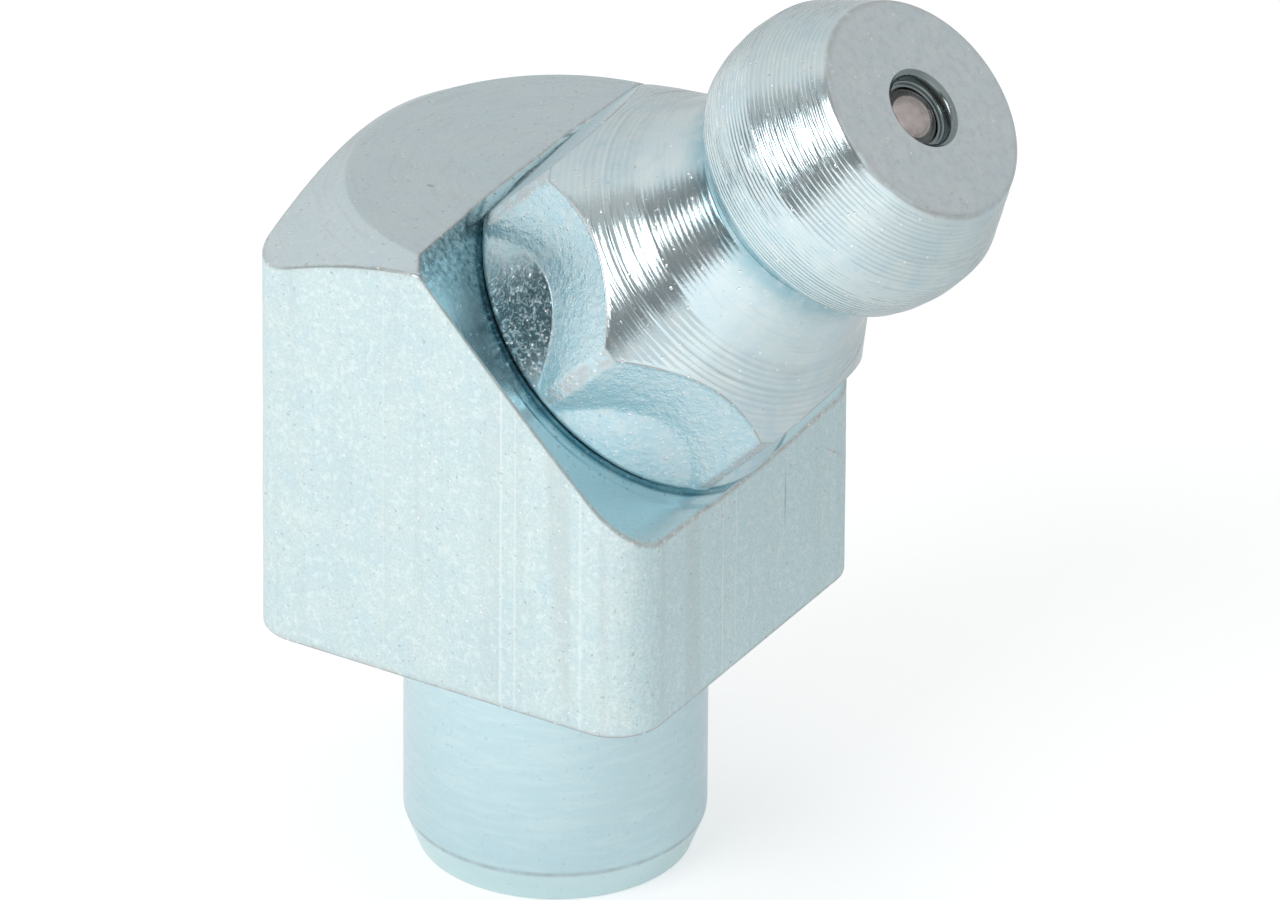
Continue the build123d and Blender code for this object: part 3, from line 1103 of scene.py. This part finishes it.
# %% The zinc on the square body
pale = (0.70, 0.82, 0.825)
blue = (0.625, 0.785, 0.825)
base = coats(
    zinc,
    zinc.mix_colours(clouds.step(0.32, 0.68), pale, blue),
    (mottle.step(0.35, 0.75) * 0.4, (0.75, 0.835, 0.83)),
    # painted light: the right-hand wall is painted lighter and bluer, standing in for more light on that
    # side
    (face_b * 0.6, (0.66, 0.86, 0.91)),
    (grain.step(0.38, 0.62) * 0.55, (0.56, 0.69, 0.71)),
    (wall * peel.step(0.50, 0.68) * 0.6, (0.80, 0.90, 0.90)),
    (seat * 0.85, (0.62, 0.87, 0.94)),
    # painted shade: a dark ring on the seat just round the nipple's collar, for the shadow gap under it
    (seat * travel.bell(3.88, 0.07), (0.26, 0.44, 0.50)),
    # painted shade: the seat's left corner is darkened as the collar's dark reflection
    (corner * (0.70 + 2.0 * (peel - 0.5)).clipped(), (0.15, 0.27, 0.31)),
    (shank * 0.75, (0.57, 0.765, 0.83)),
    (shank * rings.step(0.45, 0.65) * 0.35, (0.69, 0.85, 0.88)),
    (shank * z.step(-4.72, -4.82) * 0.6, (0.70, 0.86, 0.86)),
    (shank * z.bell(-4.74, 0.09) * (1.4 * mottle - 0.2).clipped(), (0.40, 0.46, 0.47)),
    (top * 0.45, (0.68, 0.755, 0.80)),
    (top * rings.step(0.50, 0.70) * 0.30, (0.60, 0.60, 0.62)),
    (banded, (0.56, 0.62, 0.62)),
    (wall * streaks.step(0.55, 0.75) * 0.28, (0.56, 0.66, 0.67)),
    # painted highlight along the drawing lines; their grooves are in the bump
    (lines.clipped() * 0.55, (0.88, 0.94, 0.94)),
    (specks * 0.40 * (1 - 0.7 * shank), (0.33, 0.36, 0.37)),
    ((scratch + dent).clipped() * 0.6, (0.25, 0.26, 0.27)),
    (diagonal * 0.5, (0.56, 0.46, 0.46)),
    (worn * 0.55, (0.47, 0.43, 0.41)),
    # painted shade along the lower edge of the wall, where it turns under
    (z.bell(0.0, 0.07) * clouds.step(0.25, 0.5) * 0.6, (0.30, 0.28, 0.28)),
    # painted glints: the nodules and the edge glints are painted near white
    ((bright_dots + glints).clipped() * 0.8, glint_white),
    # painted shade inside the grease passage and the nipple's hole
    (bore_shade * 0.7, (0.30, 0.33, 0.33)),
)
rough = 0.30 + 0.13 * wall - 0.06 * seat - 0.08 * shank + 0.10 * (mottle - 0.5) + 0.1 * specks
rough = (rough - 0.15 * bright_dots).clipped()
height = wall * (0.9 * streaks + 0.35 * fine_streaks - 1.1 * lines - 1.2 * scratch)
height = height + 1.2 * glints + peel * (1.6 * wall + 0.6 * seat) + grain * (0.45 + 1.1 * wall)
height = height - 0.6 * specks + 1.0 * bright_dots - 1.0 * diagonal
height = height + rings * (1.1 * top + 1.3 * seat + 0.35 * shank)
height = height - 1.5 * dent + 3.0 * corner * peel
finish_metal(zinc, base, rough, height, zinc_depth)
body_skin.data.materials.append(body_metal)
print("zinc_on_bar", len(zinc.tree.nodes), "nodes")

# %% [markdown]
# The nipple has the same zinc over a lathe's marks: fine rings, wider ones, and the even spacing
# of the tool's feed, which is a sine along the profile. The flats have no rings, but their zinc
# is slightly crumpled, like orange peel. Painted shade darkens the foot of one flat, standing for a
# dark reflection there, and a strip under the overhang by the body, standing for its shadow. The
# ridges between the flats are dull. A real burr stands along the top of the flats, and on the
# front-left flats it has a painted highlight along it.

# %% Marks on the turned nipple
nipple_metal = bpy.data.materials.new("zinc_on_nipple")
zinc = Shader(nipple_metal)
place = zinc.node("TexCoord", None, "Object")
turned, flats, root, face, along = attributes(zinc, "turned hexagon root face travel")
edge_wear, ridge_line, burr_highlight = attributes(zinc, "edge ridge burr")
stain, bore_shade = attributes(zinc, "stain inside")
clouds = zinc.noise(place, 0.0009)
mottle = zinc.noise(place, 0.00030)
grain = zinc.noise(place, 0.00006)
peel = zinc.noise(place, 0.00016, 3.0, 0.55)
crinkle = zinc.noise(place, 0.00011, 2.0, 0.5, 1.2)
specks = zinc.noise(place, 0.00010).step(0.68, 0.73)
fine_rings = ring_noise(zinc, 4.0, 0.055, 2.0)
wide_rings = ring_noise(zinc, 1.6, 0.17)
face_rings = ring_noise(zinc, 2.5, 0.12, 2.0)
bright_dots = nodules(zinc, place, 0.00009, 0.04)
worn = edge_wear * mottle.step(0.25, 0.6)
# glints on the flats, the edges and the painted shade; their colour below is a painted highlight
glints = nodules(zinc, place, 0.00010, 0.22) * (flats * 0.7 + edge_wear).clipped()
glints = glints + nodules(zinc, place, 0.00007, 0.10) * stain
full_turn = 6.283
flare_feed, head_feed = 0.115, 0.088
feed_marks = (along * (full_turn / flare_feed) + 5.0 * wide_rings).math("SINE")
head_marks = (along * (full_turn / head_feed) + 4.0 * wide_rings).math("SINE")
print("marks on the nipple:", len(zinc.tree.nodes), "nodes")

# %% The zinc on the turned nipple
base = coats(
    zinc,
    zinc.mix_colours(clouds.step(0.36, 0.64), (0.66, 0.775, 0.795), (0.60, 0.74, 0.785)),
    (flats * 0.65, (0.50, 0.74, 0.83)),
    (flats * peel.step(0.50, 0.66) * 0.35, (0.80, 0.90, 0.92)),
    # painted shade in the neck groove between the flare and the head
    (along.bell(5.35, 0.75) * turned, (0.31, 0.51, 0.58)),
    # painted shade: below 0.2 mm from the seat, at the foot of the collar, the nipple is painted dark
    # teal
    (along.step(0.20, 0.12), (0.26, 0.44, 0.50)),
    (face * 0.5, (0.69, 0.72, 0.75)),
    (face * peel.step(0.46, 0.64) * 0.35, (0.57, 0.59, 0.61)),
    (mottle.step(0.4, 0.75) * 0.4, (0.78, 0.83, 0.83)),
    (turned * wide_rings.step(0.52, 0.7) * 0.3, (0.50, 0.60, 0.63)),
    (specks * 0.45, (0.33, 0.34, 0.36)),
    (worn * 0.55, (0.50, 0.46, 0.44)),
    (ridge_line * mottle.step(0.25, 0.6) * 0.6, (0.47, 0.44, 0.43)),
    # painted shade in the foot of one flat and under the overhang by the body
    (stain * (0.90 + 2.4 * (crinkle - 0.5)).clipped(), (0.065, 0.115, 0.135)),
    # painted highlight along the burr on the front-left flats
    (burr_highlight * 0.8, (0.98, 0.98, 0.98)),
    # painted glints: the nodules and the glints are painted near white
    ((bright_dots + glints).clipped() * 0.8, glint_white),
    # painted shade inside the nipple's mouth and bore
    (bore_shade * 0.8, (0.16, 0.19, 0.19)),
)
rough = 0.17 + 0.10 * flats + 0.10 * root + 0.05 * stain + 0.10 * face
rough = rough + 0.08 * (mottle - 0.5) + 0.1 * specks
rough = (rough - 0.08 * bright_dots).clipped()
ring_depth = 1.0 + 1.1 * along.step(5.6, 6.0) - 0.55 * along.bell(4.5, 1.0)
height = turned * ring_depth * (fine_rings + wide_rings) + face * 0.8 * face_rings
height = height + turned * feed_marks * (0.15 + 0.6 * along.bell(3.1, 1.1)) * along.step(5.3, 5.1)
height = height + turned * head_marks * 0.80 * along.step(5.9, 6.1)
height = height + grain * (0.35 + 1.2 * flats + 0.3 * face)
height = height + peel * 4.0 * flats + crinkle * 6.0 * stain
height = height - 0.6 * specks + 1.2 * (bright_dots + glints)
finish_metal(zinc, base, rough, height, zinc_depth)
nipple_skin.data.materials.append(nipple_metal)
print("zinc_on_nipple", len(zinc.tree.nodes), "nodes")

# %% [markdown]
# ## The steel of the ball and the spring
#
# The ball is bare hardened steel with a film of oil, a little pinker and darker than zinc. The
# spring wire is the darkest metal here. Both have cloudy roughness, because oil never lies evenly.

# %% Steel for the ball and the spring
def oiled_steel(name, dark, light, roughness):
    """Bare steel: two tones by cloudy noise, and roughness that follows the same clouds."""
    material = bpy.data.materials.new(name)
    steel = Shader(material)
    place = steel.node("TexCoord", None, "Object")
    clouds = steel.noise(place, 0.0005)
    scuffs = steel.noise(steel.vector("MULTIPLY", place, (1.0, 0.15, 1.0)), 0.00006, 2.0, 0.5)
    tone = steel.mix_colours(clouds.step(0.35, 0.65), dark, light)
    rough = roughness + 0.14 * (clouds - 0.5)
    finish_metal(steel, tone, rough, scuffs, 0.000001)
    print(name, len(steel.tree.nodes), "nodes")
    return material


ball_steel = oiled_steel("oiled_ball", (0.33, 0.29, 0.28), (0.56, 0.51, 0.50), 0.10)
spring_steel = oiled_steel("spring_wire", (0.34, 0.33, 0.32), (0.55, 0.54, 0.53), 0.3)
ball_skin.data.materials.append(ball_steel)
spring_skin.data.materials.append(spring_steel)

# %% [markdown]
# ## The end
#
# Colours are shown as they are, without a film look.

# %% Settings
bpy.context.scene.view_settings.view_transform = "Standard"
